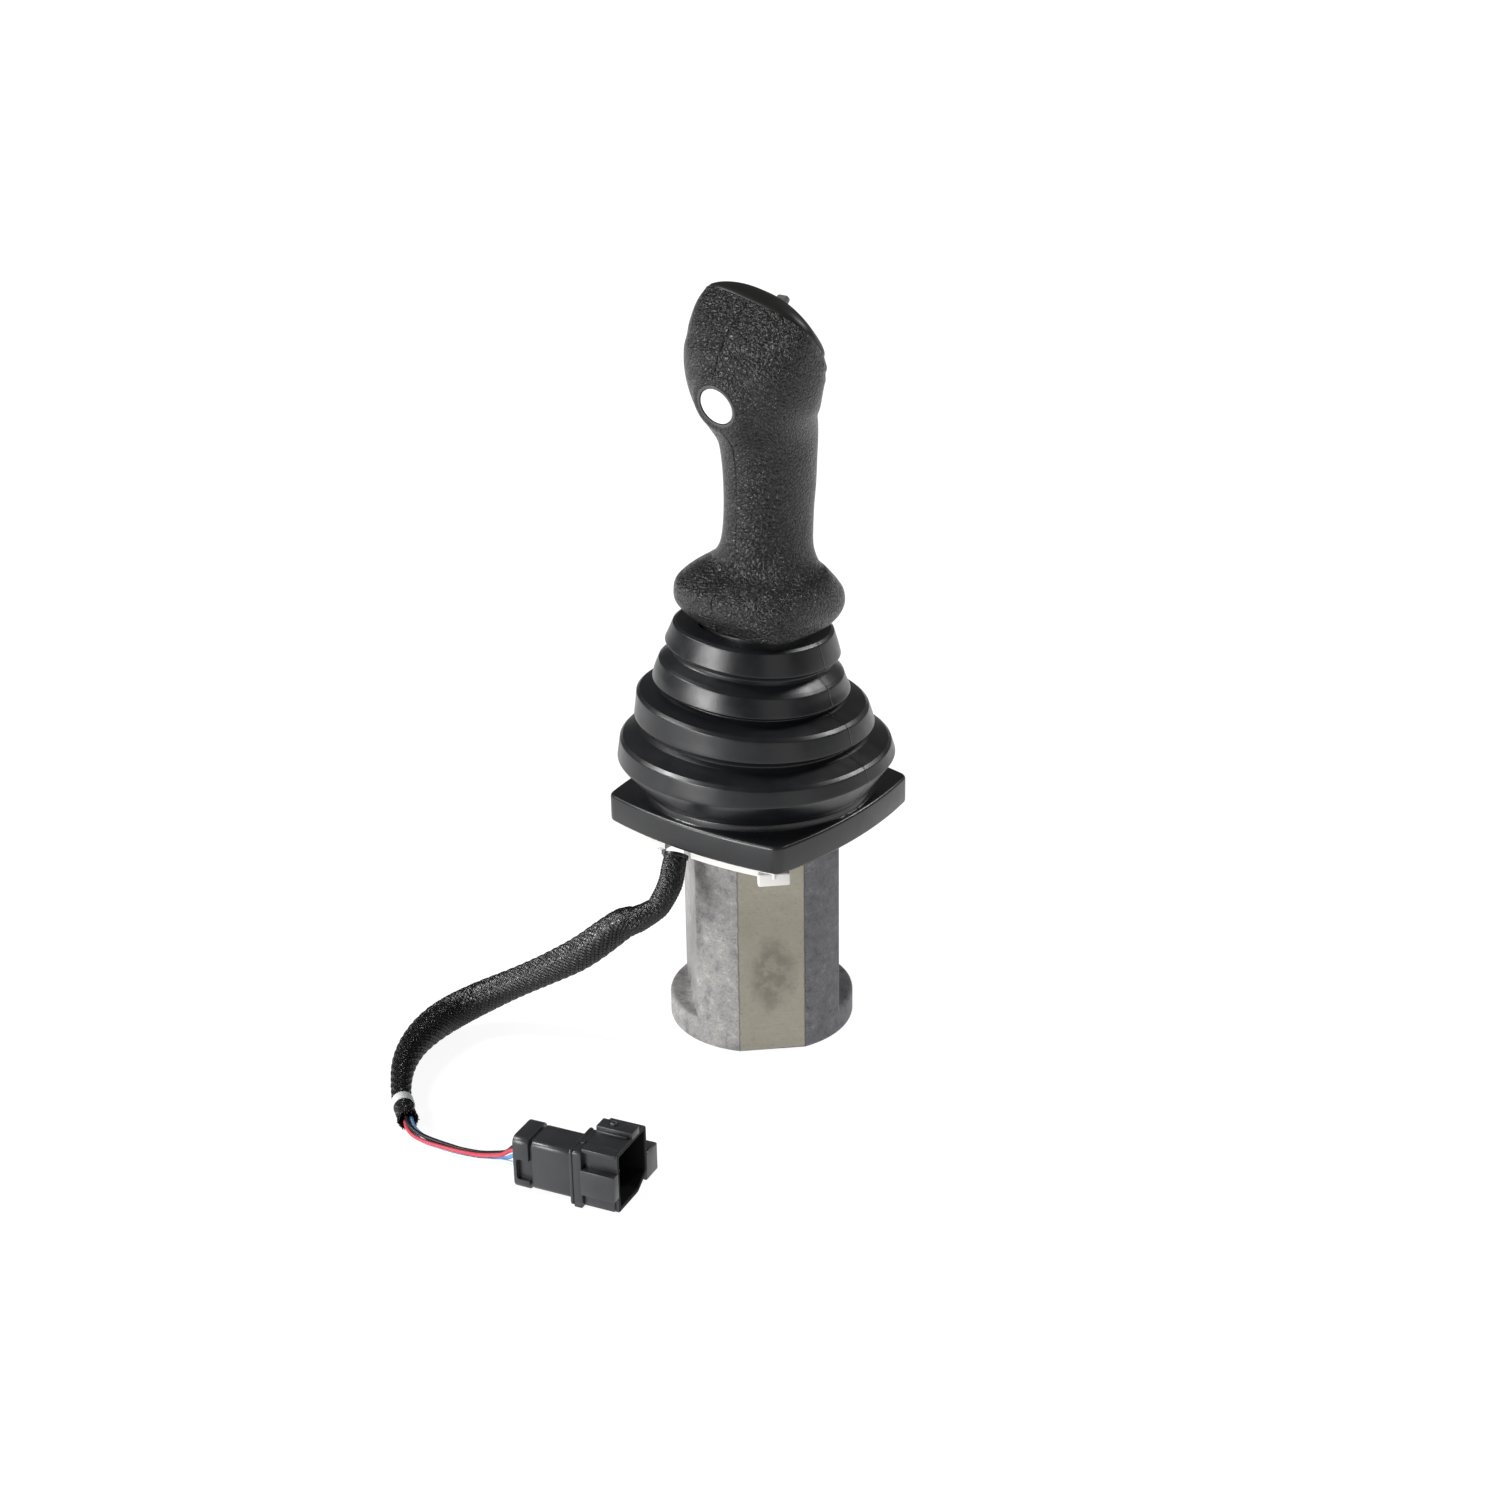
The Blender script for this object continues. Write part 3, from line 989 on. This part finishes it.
def grip_half(side):
    rings = []
    for g in (dense if side > 0 else dense_left):
        p = half_section(g, side)
        dd = np.r_[0, np.cumsum(np.linalg.norm(np.diff(p, axis=0), axis=1))]
        L = dd[-1]
        t = np.r_[ENDS, np.linspace(1.1, L - 1.1, 92), L - ENDS[::-1]]
        q = np.stack([np.interp(t, dd, p[:, i]) for i in range(3)], 1)
        c = np.array([0, (g[0] + g[2]) / 2, (g[1] + g[3]) / 2])
        edge = np.minimum(t, L - t)
        dep = np.interp(q[:, 2], GROOVE[:, 0], GROOVE[:, 1])
        k = np.clip(1 - edge / 0.55, 0, 1)
        dirv = (c - q); dirv[:, 0] = 0
        dirv /= np.maximum(np.linalg.norm(dirv, axis=1), 1e-6)[:, None]
        q = q + dirv * (dep * k ** 1.5)[:, None]
        q[:, 0] = side * np.maximum(np.abs(q[:, 0]), 0.02)
        rings.append(q)
    # turned-in rims at the bottom and under the cap
    r0, rn = rings[0], rings[-1]
    c0, cn = np.array([0, 1.1, r0[:, 2].mean()]), CC
    low = []
    for k, dz in ((0.99, -0.35), (0.94, -0.5), (0.7, -0.5), (0.34, -0.4)):
        q = r0.copy()
        q[:, :2] = c0[:2] + (r0[:, :2] - c0[:2]) * k
        q[:, 2] = r0[:, 2] + dz * 0.6 + 0.3 * (1 - k)
        low.append(q)
    top = []
    nrm = np.array([0.145, 0.725, 0.673])
    for k, dz in ((0.992, 0.05), (0.975, -0.35), (0.955, -0.9), (0.90, -1.2), (0.9, -4.0)):
        top.append(cn + (rn - cn) * k + nrm * dz)
    rings = low[::-1] + rings + top
    return np.array(rings)


BTN = np.array([0, -22.5, 265.3])
BN = np.array([0, -math.cos(math.radians(15.5)), -math.sin(math.radians(15.5))])
BX = np.array([1.0, 0, 0]); BY = np.cross(BN, BX)
for side, nm in ((1, "right"), (-1, "left")):
    R = grip_half(side)
    # a small flat land round the trigger
    w = R.reshape(-1, 3) - BTN
    lx, ly, lz = w @ BX, w @ BY, w @ BN
    r = np.hypot(lx, ly)
    u = np.clip((r - 9.3) / 5.5, 0, 1)
    blend = (1 - u * u * (3 - 2 * u)) * (lz > -9)
    blend = np.where(w[:, 1] > 14, 0, blend)
    new = lz * (1 - blend) + (-0.15) * blend
    V = R.reshape(-1, 3) + (new - lz)[:, None] * BN
    kk, nn = R.shape[:2]
    _, F = grid(R, False)
    keepf = []
    inside = (r < 8.4) & (lz > -9)
    for q in F:
        if not all(inside[i] for i in q):
            keepf.append(q)
    o = make("grip_skin_" + nm, V, keepf, [M["leather"]], True, 60)
    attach(o, "lever"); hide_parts("grip_shell_" + nm)

# grip cap
g = GRIP[-1]
CN = np.cross([1, 0, -g[6]], [0, g[2] - g[0], g[3] - g[1]]); CN = CN / np.linalg.norm(CN)
LEAN = np.array([-2.5, -2.1, 2.8])
rim = np.vstack([half_section(g, 1, 721)[:-1], half_section(g, -1, 721)[::-1][:-1]])
rim = resample(rim, 240, True)
DH, DQ = 9.95, 1.67
dm = [(0.95, -1.3), (0.968, -0.6), (0.978, 0.0)] + [(sh, DH * (1 - sh ** DQ) ** (1 / DQ) - 0.35 * (sh > 0.97)) for sh in
      (0.982, 0.978, 0.97, 0.958, 0.94, 0.915, 0.885, 0.85, 0.81, 0.765, 0.715, 0.66, 0.6, 0.535, 0.465, 0.39, 0.31, 0.23, 0.15, 0.08, 0.02)]
rings = [CC + (rim - CC) * k + CN * h + LEAN * (max(h, 0) / 10.1) ** 2 for k, h in dm]
v, f = grid(rings, True, True, True)
capm = make("cap_dome", v, f, [M["cap"]], True, 50)
TA = math.radians(47.1)
TM = np.eye(4)
TM[:3, 0] = (1, 0, 0); TM[:3, 1] = (0, math.cos(TA), -math.sin(TA)); TM[:3, 2] = (0, math.sin(TA), math.cos(TA))
TM[:3, 3] = CC + 2.6 * TM[:3, 1] - 0.8 * TM[:3, 2]
sl_cut = box(-4.6, 4.6, -5.4, 5.4, 1.0, 16, 1.6, 4)
capm = boolean(capm, make("cut", place(sl_cut[0], TM), sl_cut[1]))
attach(capm, "lever"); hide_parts("grip_cap")

# thumb toggle: barrel and a tapered paddle
tb = lathe(fillet([(0.01, -3.9), (3.2, -3.9), (3.2, 3.9), (0.01, 3.9)], 0.4, 3), 48)
mt = rot_to((1, 0, 0), (0, 0, 1)); mt[:3, 3] = (0, 0, 4)
pad = box(-2.9, 2.9, -1.7, 1.7, 4, 15, 0.9, 4)
pv = pad[0].copy()
kz = np.clip((pv[:, 2] - 6) / 9, 0, 1)
pv[:, 0] *= 1 - 0.14 * kz
pv[:, 1] *= 1 - 0.18 * kz
v, f, mi = join_parts([(place(tb[0], mt), tb[1], 0), (pv, pad[1], 0)])
tog = make("toggle_paddle", place(v, TM), f, [M["toggle"]])
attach(tog, "toggle"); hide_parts("thumb_toggle")

# trigger and bezel
bm_ = np.eye(4); bm_[:3, 0], bm_[:3, 1], bm_[:3, 2], bm_[:3, 3] = BX, BY, BN, BTN
v, f = lathe(fillet([(0.01, -12), (4, -12), (4, -4), (7.4, -4), (7.4, -0.25), (7.0, 0.0), (0.01, 0.0)], [0, .3, 0, .3, .25, .5, 0], 4), 96)
trg = make("trigger_disc", place(v, bm_), f, [M["button"]], True, 30)
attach(trg, "trigger"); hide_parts("trigger_button")
v, f = lathe(fillet([(7.72, -4), (7.72, 0.0), (7.85, 0.25), (8.6, 0.25), (8.88, -0.05), (8.88, -6), (7.72, -6)], 0.12, 3), 96, True)
bez = make("trigger_bezel", place(v, bm_), f, [M["bezel"]], True, 40)
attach(bez, "lever"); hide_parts("button_bezel")

# ---------------------------------------------------------------- floor, light
bpy.ops.mesh.primitive_plane_add(size=12, location=(0, 0, -0.0002))
floor = bpy.context.object
floor.name = "floor"
fm = Mat("floor_paper")
fm.set(Roughness=0.9)
fm.p.inputs["Emission Color"].default_value = (1, 1, 1, 1)
fm.p.inputs["Emission Strength"].default_value = 0.92
fm.p.inputs["Specular IOR Level"].default_value = 0.1
fm.color(fm.ramp(fm.noise(3, 2), [(0.3, (0.19, 0.19, 0.19)), (0.7, (0.21, 0.21, 0.21))]))
floor.data.materials.append(fm.m)

world = bpy.data.worlds.new("studio")
bpy.context.scene.world = world
world.use_nodes = True
world.node_tree.nodes["Background"].inputs[0].default_value = (1, 1, 1, 1)
world.node_tree.nodes["Background"].inputs[1].default_value = 0.10


def sun(name, direction, strength, angle):
    """A soft light a long way off, shining from the direction given."""
    l = bpy.data.lights.new(name, "SUN")
    l.energy = strength
    l.angle = math.radians(angle)
    o = bpy.data.objects.new(name, l)
    bpy.context.scene.collection.objects.link(o)
    o.rotation_mode = "QUATERNION"
    o.rotation_quaternion = (-Vector(direction)).to_track_quat("-Z", "Y")
    return o


sun("key_front", (-0.36, -1.0, 0.22), 2.9, 30)
sun("key_left", (-0.75, -0.55, 0.85), 2.0, 16)
sun("rim_right", (0.35, 0.8, 0.75), 1.2, 16)
sun("fill_right", (1.0, -0.3, 0.35), 0.25, 40)

bpy.context.scene.view_settings.view_transform = "Standard"
